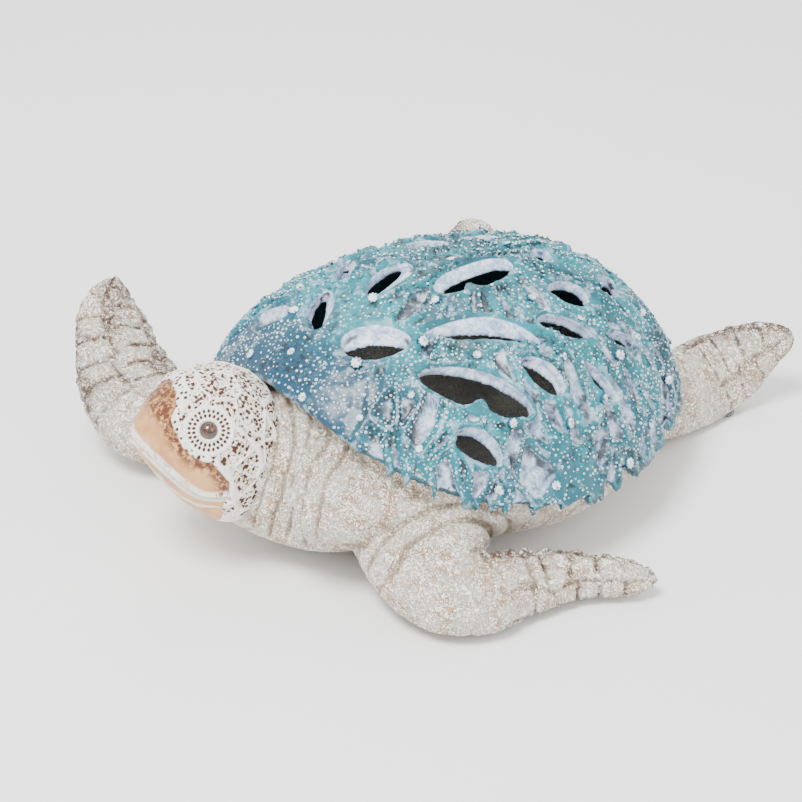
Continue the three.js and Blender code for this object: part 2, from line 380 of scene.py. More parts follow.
def trunk_grid(around):
    """Profile of the trunk (share of the rim outline, share of its height) carried round."""
    profile = np.array([
        (0, 0), (0.35, 0), (0.6, 0.15), (0.78, 0.33), (0.88, 0.52), (BODY_INSET - 0.02, 0.78),
        (BODY_INSET, 1), (BODY_INSET - 0.035, 1.04),
    ])
    phi = turns(around)
    edge = dome(phi, rim_share(phi))
    share, lift = profile[:, 0, None], profile[:, 1, None]
    low = np.stack([
        edge[None, :, 0] * share, edge[None, :, 1] * share,
        BELLY - 1 + (edge[None, :, 2] - BELLY + 1) * lift,
    ], -1)
    back = np.array([0.84, 0.5, 0])[:, None]
    deck = np.stack([
        edge[None, :, 0] * back, edge[None, :, 1] * back, np.full((3, around), DECK),
    ], -1)
    return np.concatenate([low, deck])


def window_frames():
    """Middle point and the downhill, sideways and outward axes of each window."""
    phi = np.radians([window[0] for window in WINDOWS])
    share = np.array([window[1] for window in WINDOWS])
    middle = dome(phi, share)
    outward = dome_normal(phi, share)
    away = middle - np.array([0, APEX_BACK, 0])
    away[:, 2] = 0
    across = unit(np.cross(outward, away))
    down = np.cross(across, outward)
    turn = np.radians([window[4] for window in WINDOWS])[:, None]
    long_axis = down * np.cos(turn) + across * np.sin(turn)
    wide_axis = -down * np.sin(turn) + across * np.cos(turn)
    return middle, long_axis, wide_axis, outward


def window_margin(points):
    """Distance in millimetres from the nearest window's edge, negative inside it."""
    middle, long_axis, wide_axis, outward = window_frames()
    margin = np.full(len(points), 99.0)
    for index, window in enumerate(WINDOWS):
        away = points - middle[index]
        x, y = away @ long_axis[index], away @ wide_axis[index]
        ratio = np.hypot(x / window[2], y / window[3]) + 1e-6
        reach = np.hypot(x, y) * (1 - 1 / ratio)
        near = np.abs(away @ outward[index]) < 16
        margin = np.where(near, np.minimum(margin, reach), margin)
    return margin


def window_bar(index, around=96):
    """Cutter: the window's oval carried along the outward axis, narrower as it goes in."""
    middle, long_axis, wide_axis, outward = (axis[index] for axis in window_frames())
    long, wide, turn, nub, lean = WINDOWS[index][2:]
    angle = turns(around)
    x = np.sign(np.cos(angle)) * np.abs(np.cos(angle)) ** 1.12
    y = np.sin(angle)
    ripple = 1 + 0.05 * np.sin(2 * angle + index) + 0.05 * np.sin(3 * angle + 2.3 * index)
    levels = [
        (9, 4.5), (9, 4.5), (2.0, 3.0), (0.3, 2.2), (-1.6, 1.1), (-4, 0), (-13, -1.8), (-13, -1.8),
    ]
    uphill = np.array([0, APEX_BACK, middle[2] + 40]) - middle
    uphill -= (uphill @ outward) * outward
    uphill /= np.linalg.norm(uphill)
    rings = []
    lean_side = -math.copysign(1, uphill @ wide_axis)
    for height, widen in levels:
        inset = min(lean * min(max(-height, 0), SHELL_WALL + 1), wide * 1.1) / 2
        breadth = (wide + widen - inset) * y * ripple + lean_side * inset
        if nub is not None:
            low_side = -np.sign(np.sin(math.radians(turn))) * y > 0
            breadth = breadth * (1 - 0.62 * low_side * bell(x - nub, 0.16))
        ring = middle + np.outer((long + widen) * x * ripple, long_axis)
        ring = ring + uphill * max(widen, 0) * 0.75
        rings.append(ring + np.outer(breadth, wide_axis) + height * outward)
    rings[0] = np.broadcast_to(rings[0].mean(0), rings[0].shape)
    rings[-1] = np.broadcast_to(rings[-1].mean(0), rings[-1].shape)
    return np.stack(rings)


def mesh_object(name, points, faces):
    """A mesh object from millimetre points and triangles."""
    mesh = bpy.data.meshes.new(name)
    mesh.vertices.add(len(points))
    mesh.vertices.foreach_set("co", place(points).astype(np.float32).ravel())
    mesh.loops.add(faces.size)
    mesh.loops.foreach_set("vertex_index", faces.astype(np.int32).ravel())
    mesh.polygons.add(len(faces))
    mesh.polygons.foreach_set("loop_start", np.arange(0, faces.size, 3, dtype=np.int32))
    mesh.update(calc_edges=True)
    mesh.validate()
    thing = bpy.data.objects.new(name, mesh)
    bpy.context.scene.collection.objects.link(thing)
    return thing


def gathered(parts):
    """Several (points, faces) pairs as one."""
    points, faces, start = [], [], 0
    for part_points, part_faces in parts:
        points.append(part_points)
        faces.append(part_faces + start)
        start += len(part_points)
    return np.concatenate(points), np.concatenate(faces)


def settle(thing):
    """Applies the object's modifiers to its mesh."""
    graph = bpy.context.evaluated_depsgraph_get()
    mesh = bpy.data.meshes.new_from_object(thing.evaluated_get(graph))
    thing.modifiers.clear()
    thing.data = mesh
    return thing


def remesh(thing, voxel, smoothing):
    """One even skin over the object's overlapping parts, then softened."""
    modifier = thing.modifiers.new("skin", "REMESH")
    modifier.mode = "VOXEL"
    modifier.voxel_size = voxel / 1000
    soften = thing.modifiers.new("soften", "SMOOTH")
    soften.factor = 0.5
    soften.iterations = smoothing
    return settle(thing)


def read_points(thing):
    """Vertex places in millimetres of the turtle's frame, and unit normals."""
    mesh = thing.data
    co = np.zeros(len(mesh.vertices) * 3, np.float32)
    mesh.vertices.foreach_get("co", co)
    normal = np.zeros(len(mesh.vertices) * 3, np.float32)
    mesh.vertex_normals.foreach_get("vector", normal)
    points = co.reshape(-1, 3).astype(float) * 1000 - MIDDLE
    return points, normal.reshape(-1, 3).astype(float)


def write_points(thing, points):
    """Puts millimetre places back into the mesh."""
    thing.data.vertices.foreach_set("co", place(points).astype(np.float32).ravel())
    thing.data.update()


def write_mask(thing, name, values):
    """A value per vertex for the materials to read."""
    attribute = thing.data.attributes.new(name, "FLOAT", "POINT")
    attribute.data.foreach_set("value", np.clip(values, 0, 1).astype(np.float32))


def edge_pairs(thing):
    """Vertex pairs of all edges."""
    pairs = np.zeros(len(thing.data.edges) * 2, np.int32)
    thing.data.edges.foreach_get("vertices", pairs)
    return pairs.reshape(-1, 2)


def neighbour_mean(values, pairs, count):
    """Mean of each vertex's neighbours."""
    total = np.zeros_like(values)
    for axis in range(values.shape[1]):
        total[:, axis] += np.bincount(pairs[:, 0], values[pairs[:, 1], axis], count)
        total[:, axis] += np.bincount(pairs[:, 1], values[pairs[:, 0], axis], count)
    number = np.bincount(pairs.ravel(), minlength=count)
    return total / np.maximum(number, 1)[:, None]


def hollowness(thing, rounds):
    """How far each vertex lies under the surface smoothed over some rounds, in millimetres."""
    points, normal = read_points(thing)
    pairs = edge_pairs(thing)
    soft = points
    for turn in range(rounds):
        soft = neighbour_mean(soft, pairs, len(points))
    return ((soft - points) * normal).sum(1)


def shade_smooth(thing):
    """Smooth shading on every face."""
    thing.data.polygons.foreach_set("use_smooth", np.ones(len(thing.data.polygons), bool))


def dome_coordinates(points):
    """Angle round the dome, share of the dome point that a ray from the dome's middle meets,
    and depth in millimetres under the outer face along that ray (found by halving)."""
    angle_table = np.linspace(-math.pi, math.pi, 721)
    table = foot(angle_table)
    heading = np.arctan2(table[:, 0], -(table[:, 1] - APEX_BACK))
    flat = points[:, :2] - np.array([0, APEX_BACK])
    phi = np.interp(np.arctan2(flat[:, 0], -flat[:, 1]), heading, angle_table)
    edge = foot(phi)
    radius = np.hypot(edge[:, 0], edge[:, 1] - APEX_BACK)
    reach = np.hypot(flat[:, 0], flat[:, 1])
    low, high = np.full(len(points), 1e-4), np.ones(len(points))
    for turn in range(26):
        share = (low + high) / 2
        top = FOOT_HEIGHT + (edge[:, 2] - FOOT_HEIGHT) * share ** 2 + rise(share)
        steeper = (points[:, 2] - FOOT_HEIGHT) * radius * share > (top - FOOT_HEIGHT) * reach
        high = np.where(steeper, share, high)
        low = np.where(steeper, low, share)
    surface = dome(phi, share)
    full = np.linalg.norm(surface - DOME_MIDDLE, axis=1)
    depth = full - np.linalg.norm(points - DOME_MIDDLE, axis=1)
    return phi, share, depth


def shell_relief(points, phi, share, margin):
    """Net of bony ridges round long hollows that run downhill, deep near the rim, and the
    masks that go with it: height, hollow floor, ridge crest."""
    downhill = 105 * np.arcsin(np.clip(share, 0, 1)) / (math.pi / 2) * 1.25
    spread = phi * 80
    warp = np.stack([rough(points, 26, 2, 3), rough(points, 26, 2, 9), np.zeros(len(points))], -1)
    chart = np.stack([spread, downhill * 0.3, np.zeros(len(points))], -1) + warp * 3.0
    _, gap, tone = cells(chart, 8.6, 5)
    low_band = smoothstep(0.72, 0.84, share)
    ahead = smoothstep(0.75, 0.92, np.cos(phi)) * smoothstep(0.6, 0.8, share)
    chosen = np.where(tone > 0.45, 1.0, 0.15)
    strength = (low_band + (1 - low_band) * chosen * 0.7) * (1 - ahead)
    strength *= smoothstep(1.0, 4.0, margin)
    floor = smoothstep(0.07, 0.3, gap) * strength
    crest = (1 - smoothstep(0.0, 0.16, gap)) * smoothstep(0.0, 0.35, strength)
    height = -3.0 * floor + 1.2 * crest + 0.45 * rough(points, 7, 3, 21)
    height += 0.7 * rough(points, 18, 2, 31) + 0.9 * smoothstep(0.35, 0.7, share) - 0.2
    lip = bell(margin - 3.2, 1.8) * 0.9
    return height + lip, floor, crest, ahead


def build_shell():
    """The pierced dome: cut, skinned evenly, carved, and marked for its paints."""
    points, faces = closed_skin(shell_grid(240, 70))
    shell = mesh_object("shell", points, faces)
    bars = gathered([closed_skin(window_bar(index)) for index in range(len(WINDOWS))])
    cutter = mesh_object("window_bars", *bars)
    cut = shell.modifiers.new("windows", "BOOLEAN")
    cut.operation = "DIFFERENCE"
    cut.solver = "MANIFOLD"
    cut.object = cutter
    settle(shell)
    bpy.data.objects.remove(cutter)
    remesh(shell, SHELL_VOXEL, 3)
    points, normal = read_points(shell)
    phi, share, depth = dome_coordinates(points)
    margin = window_margin(points)
    height, floor, crest, ahead = shell_relief(points, phi, share, margin)
    skin = 1 - smoothstep(0.9, 2.4, depth)
    rim_gap = (rim_share(phi) - share) * 110
    tooth = (crest - floor * 0.8) * bell(rim_gap, 5) * (1 - ahead)
    points = points + normal * (height * skin)[:, None]
    points[:, 2] -= tooth * 2.5 * (1 - smoothstep(3.5, 5, depth))
    write_points(shell, points)
    hollow = hollowness(shell, 8)
    wall = smoothstep(0.5, 1.4, depth) * (1 - smoothstep(3.2, 4.6, margin))
    wall *= 1 - smoothstep(SHELL_WALL - 0.4, SHELL_WALL + 0.6, depth)
    write_mask(shell, "wall", wall)
    write_mask(shell, "floor", floor * skin)
    write_mask(shell, "crest", np.clip(-hollow * 1.2, 0, 1))
    # crevice marks the hollows, which the shell material darkens to near black as painted shade
    write_mask(shell, "crevice", np.clip(hollow * 1.2, 0, 1))
    write_mask(shell, "ahead", ahead * skin)
    write_mask(shell, "lining", smoothstep(3.0, 4.6, depth) * smoothstep(1.0, 2.5, margin))
    write_mask(shell, "low", smoothstep(0.8, 1.0, share))
    shade_smooth(shell)
    spots = (depth < 1.0) & (margin > 3.4) & (floor < 0.5) & (rim_gap > 1.0)
    return shell, spots


def scattered(points, spacing, chance, seed):
    """Indices of points kept at least a spacing apart, tried in a shuffled order."""
    maker = np.random.default_rng(seed)
    order = maker.permutation(len(points))
    order = order[maker.random(len(order)) < chance[order]]
    boxes, kept = {}, []
    for index in order:
        point = points[index]
        key = tuple(np.floor(point / spacing).astype(int))
        clear = True
        for step in np.ndindex(3, 3, 3):
            near = boxes.get((key[0] + step[0] - 1, key[1] + step[1] - 1, key[2] + step[2] - 1), ())
            if any(np.sum((points[other] - point) ** 2) < spacing ** 2 for other in near):
                clear = False
                break
        if clear:
            boxes.setdefault(key, []).append(index)
            kept.append(index)
    return np.array(kept)


def studs(points, normals, radius, profile, around, petals=0):
    """Small turned studs: a profile of (share of radius, height) spun round each normal;
    petals pinch the outline and crest by a cosine."""
    count = len(points)
    helper = np.where(np.abs(normals[:, 2:3]) < 0.9, [[0.0, 0.0, 1.0]], [[1.0, 0.0, 0.0]])
    side = unit(np.cross(normals, helper))
    other = np.cross(normals, side)
    angle = turns(around)
    pinch = 1 + (0.16 * np.cos(petals * angle) if petals else 0 * angle)
    rings = []
    for reach, height in profile:
        out = radius[:, None, None] * reach * pinch[None, :, None]
        ring = side[:, None] * np.cos(angle)[None, :, None]
        ring = ring + other[:, None] * np.sin(angle)[None, :, None]
        lift = radius[:, None, None] * height * (pinch[None, :, None] if height > 0 else 1)
        rings.append(points[:, None] + ring * out + normals[:, None] * lift)
    grid = np.stack(rings, 1)
    flat = grid.reshape(count, -1, 3)
    column = np.arange(around)
    beside = (column + 1) % around
    row = np.arange(len(profile) - 1)[:, None] * around
    a, b = row + column, row + beside
    bands = np.concatenate([
        np.stack([a, b, a + around], -1), np.stack([b, b + around, a + around], -1),
    ])
    bands = bands.reshape(-1, 3)
    last = (len(profile) - 1) * around
    top = np.stack([np.full(around - 2, last), last + column[1:-1], last + column[2:]], -1)
    base = np.stack([np.zeros(around - 2, int), column[2:], column[1:-1]], -1)
    faces = np.concatenate([bands, top, base])
    per = len(profile) * around
    all_faces = (faces[None] + np.arange(count)[:, None, None] * per).reshape(-1, 3)
    height_mask = np.broadcast_to(
        np.array([level[1] for level in profile])[None, :, None], (count, len(profile), around))
    reach_mask = np.broadcast_to(
        np.array([level[0] for level in profile])[None, :, None], (count, len(profile), around))
    return flat.reshape(-1, 3), all_faces, height_mask.ravel(), reach_mask.ravel()


RING_DOT = [(1.0, -0.4), (0.86, 0.42), (0.5, 0.5), (0.28, 0.1)]
FLOWER = [(1.0, -0.3), (1.0, 0.06), (0.84, 0.3), (0.55, 0.48), (0.24, 0.36)]


def build_barnacles(shell, spots):
    """Ring dots strewn over the shell's outer face and a few larger flower barnacles."""
    points, normal = read_points(shell)
    phi = dome_coordinates(points)[0]
    patch = rough(points, 24, 2, 55)
    chance = np.where(spots, 0.25 + 0.75 * smoothstep(-0.3, 0.5, patch), 0)
    chance *= np.where(np.cos(phi) > 0.85, 0.35, 1)
    flowers = scattered(points, 22, np.where(spots, 1.0, 0), 4)
    dots = scattered(points, 1.65, chance, 8)
    near = np.linalg.norm(points[dots][:, None] - points[flowers][None], axis=2).min(1)
    dots = dots[near > 3.6]
    maker = np.random.default_rng(12)
    size = 0.36 + 0.42 * maker.random(len(dots)) ** 2
    ahead = points[dots, 1] < 10
    front, back = (
        studs(points[dots[half]], normal[dots[half]], size[half], RING_DOT, 6)
        for half in (ahead, ~ahead)
    )
    flower_size = 1.6 + 0.9 * maker.random(len(flowers))
    flower_parts = studs(points[flowers], normal[flowers], flower_size, FLOWER, 27, petals=9)
    made = []
    for name, (co, faces, height, reach) in (
        ("ring_dots_front", front), ("ring_dots_back", back), ("flower_barnacles", flower_parts),
    ):
        thing = mesh_object(name, co, faces)
        write_mask(thing, "pit", (reach < 0.3) * (0.35 if name == "flower_barnacles" else 1.0))
        write_mask(thing, "top", np.clip(height * 2, 0, 1))
        shade_smooth(thing)
        made.append(thing)
    return made


def limb_coordinates(points, name):
    """Millimetres along a limb, angle round its oval, and reach as a share of the oval."""
    share = np.linspace(0, 1, 90)
    centre, chord, thick, size = limb_frames(LIMBS[name], share)
    length = np.concatenate([[0], np.cumsum(np.linalg.norm(np.diff(centre, axis=0), axis=1))])
    best = np.full(len(points), 99.0)
    along = np.zeros(len(points))
    angle = np.zeros(len(points))
    forward = unit(np.gradient(centre, axis=0))
    for index in range(len(share)):
        away = points - centre[index]
        x = away @ chord[index] / size[index, 0]
        y = away @ thick[index] / size[index, 1]
        z = away @ forward[index] / 6
        reach = np.sqrt(x * x + y * y + z * z)
        nearer = reach < best
        best = np.where(nearer, reach, best)
        along = np.where(nearer, length[index], along)
        angle = np.where(nearer, np.arctan2(y, x), angle)
    return along, angle, best, length[-1]


def flipper_relief(points, name, seed):
    """Rounded scutes with sunk joints and raised borders on the outer half of a flipper,
    small knobs along both edges, and a mask for the brown stain there."""
    along, angle, reach, length = limb_coordinates(points, name)
    here = 1 - smoothstep(1.25, 1.5, reach)
    outer = smoothstep(0.38, 0.6, along / length) * here
    warp = rough(points, 11, 2, seed) * 1.6
    side = np.abs(angle) / math.pi * 2.5 + 0.12 * warp
    row = np.floor(side)
    column = (along + warp) / 11 + 0.37 * row * (1 + 0.3 * np.sign(angle))
    down_gap = np.abs(side - np.round(side)) * 7.5
    along_gap = np.abs(column - np.round(column)) * 11
    tone = dice(np.stack([np.floor(column), row, np.sign(angle)], -1), seed)
    groove = np.maximum(bell(down_gap, 0.85), bell(along_gap, 0.85))
    border = np.clip(bell(down_gap - 2.2, 0.9) + bell(along_gap - 2.2, 0.9), 0, 1) * (1 - groove)
    edge = np.maximum(0.35 * bell(angle, 0.5), bell(np.abs(angle) - math.pi, 1.0)) * outer
    knob = cells(points, 4.2, seed + 3)[0]
    height = outer * (-0.95 * groove + 0.4 * border + (tone - 0.5) * 0.6)
    height += edge * (1.1 - 1.9 * knob)
    patch = smoothstep(-0.5, 0.4, rough(points, 14, 2, seed + 8))
    stain = edge * (0.4 + 0.6 * patch) + 0.4 * outer * groove
    if name == "front_right":
        stain = stain + 0.3 * outer * patch
    return height, stain


def neck_relief(points):
    """Curved skin folds: sunk lines on nested bowls about the head, 7 mm apart."""
    away = np.linalg.norm(points - np.array([-12, -124, 46]), axis=1)
    sway = away + rough(points, 20, 2, 71) * 1.4
    here = smoothstep(34, 38, sway) * (1 - smoothstep(66, 74, sway))
    here *= smoothstep(8, 30, points[:, 2]) * smoothstep(-52, -60, points[:, 1])
    here *= (1 - smoothstep(46, 56, np.abs(points[:, 0] - 3)))
    line = np.abs((sway / 6.8) % 1 - 0.5) * 6.8
    fade = 0.75 + 0.35 * noise(points, 14, 77)
    return here * fade * (-1.8 * bell(line, 0.75) + 0.55 * bell(line - 1.9, 1.0))


def shoulder_relief(points):
    """Two long creases over the left shoulder, sunk on shells about a point in the elbow."""
    away = np.linalg.norm(points - np.array([88, -66, 8]), axis=1) + rough(points, 18, 2, 33)
    here = smoothstep(10, 20, points[:, 2]) * smoothstep(30, 40, points[:, 0])
    lines = bell(away - 31, 1.0) + 0.8 * bell(away - 37, 1.0)
    return here * (-1.9 * lines + 0.7 * bell(away - 34, 1.4) + 0.6 * bell(away - 28, 1.6))


def build_body():
    """Trunk, neck and flippers as one skin with its wrinkles, scutes, folds and edge lumps."""
    parts = [closed_skin(trunk_grid(120))]
    for stations in [*LIMBS.values(), NECK_ROOT]:
        parts.append(closed_skin(limb_grid(stations, 60, 48)))
    body = mesh_object("turtle_body", *gathered(parts))
    remesh(body, BODY_VOXEL, 9)
    points, normal = read_points(body)
    phi, share, depth = dome_coordinates(points)
    height = 0.45 * rough(points, 15, 3, 41)
    wrinkle = np.abs(noise(points + rough(points, 6, 2, 5)[:, None] * 2.2, 3.4, 44))
    height += 0.5 * smoothstep(0.0, 0.4, wrinkle)
    height += neck_relief(points) + shoulder_relief(points)
    stain = np.zeros(len(points))
    for seed, name in enumerate(("front_left", "front_right", "hind_left", "hind_right")):
        relief, brown = flipper_relief(points, name, 100 + 20 * seed)
        height += relief * (0.6 if name.startswith("hind") else 1.0)
        stain = np.maximum(stain, brown)
    lump = cells(points, 13, 61)[0]
    rim_band = bell(depth - 5, 6) * smoothstep(8, 16, points[:, 2]) * (share > 0.9)
    height += rim_band * (1.2 - 2.4 * lump) * 0.9
    rim = dome(phi, rim_share(phi))
    plan = np.hypot(points[:, 0], points[:, 1]) / np.hypot(rim[:, 0], rim[:, 1])
    # The back under the shell, which the skin material paints dark grey: partly bare resin, partly
    # painted shade
    inside = (depth > SHELL_WALL - 1) & (points[:, 2] > DECK - 2) & (plan < 0.915)
    inside &= normal[:, 2] > 0.05
    height = np.where(inside, 0.3 * rough(points, 9, 2, 2), height)
    moved = points + normal * height[:, None]
    moved[:, 2] = np.maximum(moved[:, 2], BELLY)
    moved_phi, moved_share, moved_depth = dome_coordinates(moved)
    under = (moved_share < rim_share(moved_phi) - 0.015) & (plan < 0.98)
    tuck = np.clip(SHELL_WALL + 0.8 - moved_depth, 0, 9) * under
    moved = moved + unit(DOME_MIDDLE - moved) * tuck[:, None]
    write_points(body, moved)
    hollow = hollowness(body, 6)
    # crevice marks the hollows, which the skin material darkens as painted shade
    write_mask(body, "crevice", np.clip(hollow * 1.6, 0, 1))
    write_mask(body, "crest", np.clip(-hollow * 1.6, 0, 1))
    write_mask(body, "stain", stain)
    write_mask(body, "inside", inside.astype(float))
    shade_smooth(body)
    return body


def egg(ahead, fullest, power):
    """Share of full size: one less the squared share of the way to the tip, to a power."""
    return np.clip(1 - ((ahead - fullest) / (HEAD_TIP - fullest)) ** 2, 0, 1) ** power


def head_grid(along, around):
    """Upright ovals, half width cos a aside and half height sin a up, down the head's plane."""
    ahead = HEAD_BACK + (HEAD_TIP - HEAD_BACK) * np.sin(np.linspace(0, math.pi / 2, along))
    wide = HEAD_HALF_WIDE * egg(ahead, WIDEST, 0.63)
    top = TIP_HEIGHT + CROWN_RISE * egg(ahead, HIGHEST, 0.7)
    low = TIP_HEIGHT - CHIN_DROP * egg(ahead, LOWEST, 0.95)
    shift = NAPE_SHIFT * smoothstep(0, -HEAD_BACK, -ahead)
    middle, half = (top + low) / 2, (top - low) / 2
    wide[[0, -1]] = 0
    half[[0, -1]] = 0
    angle = turns(around)
    aside = shift[:, None] + wide[:, None] * np.cos(angle)
    up = middle[:, None] + half[:, None] * np.sin(angle)
    grid = HEAD_MIDDLE + HEAD_AHEAD * ahead[:, None, None] + HEAD_SIDE * aside[..., None]
    return grid + UP * up[..., None]


def mouth_line():
    """The mouth: level at its corner, then an S-shaped rise to the tip of the beak."""
    run = np.linspace(MOUTH_CORNER, 30, 14)
    return list(zip(run, MOUTH_LOW + MOUTH_RISE * smoothstep(0, 28, run)))


def cap_line():
    """The edge of the lace cap: an arc about the eye from the crown round to the cheek."""
    sweep = np.radians(np.linspace(60, -90, 12))
    arc = zip(EYE[0] + CAP_REACH * np.cos(sweep), EYE[2] + CAP_REACH * np.sin(sweep))
    return [(2.0, 90.0), *arc, (-8.0, 50.0), (-8.0, 36.0)]


def head_measures(points):
    """Millimetres ahead and aside of the head's middle plane, with the height kept."""
    away = points - HEAD_MIDDLE
    return away @ HEAD_AHEAD, away @ HEAD_SIDE, points[:, 2]


def polyline_distance(x, y, corners):
    """Distance to a line through corners, and the signed side (positive to its left)."""
    best = np.full(len(x), 99.0)
    signed = np.zeros(len(x))
    for (ax, ay), (bx, by) in zip(corners[:-1], corners[1:]):
        ux, uy = bx - ax, by - ay
        share = np.clip(((x - ax) * ux + (y - ay) * uy) / (ux * ux + uy * uy), 0, 1)
        dx, dy = x - ax - share * ux, y - ay - share * uy
        away = np.hypot(dx, dy)
        nearer = away < best
        best = np.where(nearer, away, best)
        signed = np.where(nearer, np.sign(ux * dy - uy * dx) * away, signed)
    return best, signed


def eye_place(points, side):
    """Nearest head vertex to the eye's stated place on one side, and the way it faces."""
    target = HEAD_MIDDLE + HEAD_AHEAD * EYE[0] + HEAD_SIDE * EYE[1] * side
    target = target + np.array([0, 0, EYE[2]])
    spot = points[np.argmin(np.linalg.norm(points - target, axis=1))]
    facing = HEAD_SIDE * 0.80 * side + HEAD_AHEAD * 0.22 + np.array([0, 0, 0.56])
    return spot, facing / np.linalg.norm(facing)


def rosette(points, spot, facing):
    """Rings round the eye: lid, two rings of small pits between cords, and an outer cord."""
    away = points - spot
    flat = away - np.outer(away @ facing, facing)
    distance = np.linalg.norm(flat, axis=1)
    distance = np.where(np.linalg.norm(away, axis=1) > 22, 99, distance)
    east = np.cross(facing, UP)
    east /= np.linalg.norm(east)
    north = np.cross(east, facing)
    angle = np.arctan2(flat @ north, flat @ east)
    height = -1.2 * (1 - smoothstep(2.7, 3.8, distance)) + 0.9 * bell(distance - 4.2, 0.55)
    pits = np.zeros(len(points))
    for radius, number, half in ((5.7, 21, 0.6), (7.5, 26, 0.6)):
        turn = (angle * number / (2 * math.pi)) % 1 - 0.5
        arc = turn * 2 * math.pi * radius / number
        pits = np.maximum(pits, bell(distance - radius, half) * bell(arc, 0.45))
    height += 0.4 * bell(distance - 6.6, 0.4) + 0.75 * bell(distance - 9.1, 0.6) - 0.75 * pits
    return distance, height, pits


def build_head():
    """The head with beak, mouth, lace cap of raised cords round pitted cells, and rosettes."""
    points, faces = closed_skin(head_grid(230, 400))
    head = mesh_object("turtle_head", points, faces)
    soften = head.modifiers.new("soften", "SMOOTH")
    soften.factor = 0.5
    soften.iterations = 12
    settle(head)
    points, normal = read_points(head)
    ahead, aside, up = head_measures(points)
    wobble = rough(points, 7, 2, 81)
    edge_near, edge_side = polyline_distance(ahead + wobble * 0.9, up + wobble * 0.7, cap_line())
    mouth_near, mouth_side = polyline_distance(ahead, up, mouth_line())
    beak = smoothstep(-0.35, 0.35, edge_side)
    lower = smoothstep(-0.3, 0.3, -mouth_side) * (ahead > MOUTH_CORNER)
    jaw_end = lower * smoothstep(-8, -4, ahead + wobble)
    beak = np.where(mouth_side > 0, beak, 0)
    horn = np.maximum(beak, jaw_end * (mouth_side <= 0))
    cap = 1 - horn
    metric = np.stack([ahead, np.abs(aside), up], -1)
    metric = metric + np.stack([wobble, wobble * 0, -wobble], -1) * 0.9
    gap = LACE_CELL * cells(metric, LACE_CELL, 97)[1]
    lace = cap * smoothstep(24, 32, up) * smoothstep(-40, -34, ahead)
    cords = bell(gap, 0.85)
    first, _, tone = cells(points, 1.75, 91)
    pit = (1 - smoothstep(0.26, 0.5, first)) * (tone > 0.12)
    distance = np.full(len(points), 99.0)
    ring_height = np.zeros(len(points))
    ring_pits = np.zeros(len(points))
    eyes = []
    for side in (1, -1):
        spot, facing = eye_place(points, side)
        near, height, pits = rosette(points, spot, facing)
        closer = near < distance
        ring_height = np.where(closer, height, ring_height)
        ring_pits = np.where(closer, pits, ring_pits)
        distance = np.minimum(distance, near)
        eyes.append((spot, facing))
    round_eye = 1 - smoothstep(9.5, 10.1, distance + 0.5 * wobble)
    lace = lace * (1 - round_eye)
    horn = horn * (1 - round_eye)
    lumpy = cap * bell(edge_near - 1.2, 1.3) * (mouth_side > -2)
    height = 0.55 * (1 - horn) + lace * (0.85 * cords - 0.5 * pit * (1 - cords))
    height = height + round_eye * ring_height
    height += lumpy * (0.5 + 0.3 * wobble) - 1.3 * bell(mouth_near, 0.8) * (ahead > MOUTH_CORNER)
    height += 0.5 * bell(mouth_side - 1.6, 1.0) * (ahead > MOUTH_CORNER)
    nostril_away = np.sqrt(
        (ahead - NOSTRIL[0]) ** 2 + (np.abs(aside) - NOSTRIL[1]) ** 2 + (up - NOSTRIL[2]) ** 2)
    height += 0.35 * bell(nostril_away - 1.9, 0.6) - 0.5 * bell(nostril_away, 0.9)
    wrinkle = np.abs(noise(points, 2.6, 47))
    plain = (1 - horn) * (1 - lace) * (1 - round_eye)
    height += plain * 0.3 * smoothstep(0, 0.5, wrinkle)
    sink = smoothstep(-30, -40, ahead)
    height -= 1.6 * sink
    write_points(head, points + normal * height[:, None])
    burnt = horn * np.clip(bell(edge_near, 4.5) + smoothstep(66, 78, up), 0, 1)
    write_mask(head, "pit", np.maximum(lace * pit * (1 - cords), round_eye * ring_pits * 1.3))
    write_mask(head, "horn", horn)
    write_mask(head, "burnt", burnt * (mouth_side > 0))
    write_mask(head, "lace", lace)
    write_mask(head, "cord", np.maximum(np.maximum(lace * cords, round_eye), lumpy))
    brushed = horn * np.maximum(bell(mouth_side - 1.6, 2.3), bell(mouth_near, 1.5))
    brushed = np.maximum(brushed, 0.5 * horn * bell(mouth_side + 5.5 + 1.5 * wobble, 1.2))
    write_mask(head, "chalk", np.maximum(brushed, bell(nostril_away, 2.0) * 0.8))
    hollow = hollowness(head, 5)
    # crevice marks the hollows, which the head material darkens as painted shade
    write_mask(head, "crevice", np.clip(hollow * 4, 0, 1))
    shade_smooth(head)
    return head, eyes


def build_eyes(places):
    """Round eyeballs set in the lids: spheres from rings of latitude."""
    parts = []
    for spot, facing in places:
        lift = np.linspace(0, math.pi, 34)[:, None, None]
        turn = turns(60)[None, :, None]
        side = np.cross(facing, UP)
        side /= np.linalg.norm(side)
        other = np.cross(side, facing)
        ring = (side * np.cos(turn) + other * np.sin(turn)) * np.sin(lift)
        ball = EYE_RADIUS * (facing * np.cos(lift) + ring)
        parts.append(closed_skin(spot - facing * 1.8 + ball))
    eyes = mesh_object("eyes", *gathered(parts))
    shade_smooth(eyes)
    return eyes


def build_pad(node):
    """Domed bumper pad: a soft-edged profile turned about its axis, inside the node's box."""
    low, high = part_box(node)
    middle = np.array([(low.x + high.x) * 500, (low.y + high.y) * 500, 0]) - MIDDLE
    height = (high.z - low.z) * 1000
    profile_reach = PAD_RADIUS * np.array([0, 0.6, 0.82, 0.93, 0.985, 1, 1, 0.98, 0.93, 0])
    profile_lift = height * np.array([0, 0, 0.03, 0.11, 0.25, 0.45, 0.8, 0.93, 1, 1])
    angle = turns(48)
    grid = np.stack([
        middle[0] + profile_reach[:, None] * np.cos(angle),
        middle[1] + profile_reach[:, None] * np.sin(angle),
        np.broadcast_to(profile_lift[:, None], (len(profile_lift), 48)),
    ], -1)
    pad = mesh_object("bumper_" + node[4:], *closed_skin(grid))
    shade_smooth(pad)
    return pad


# Materials


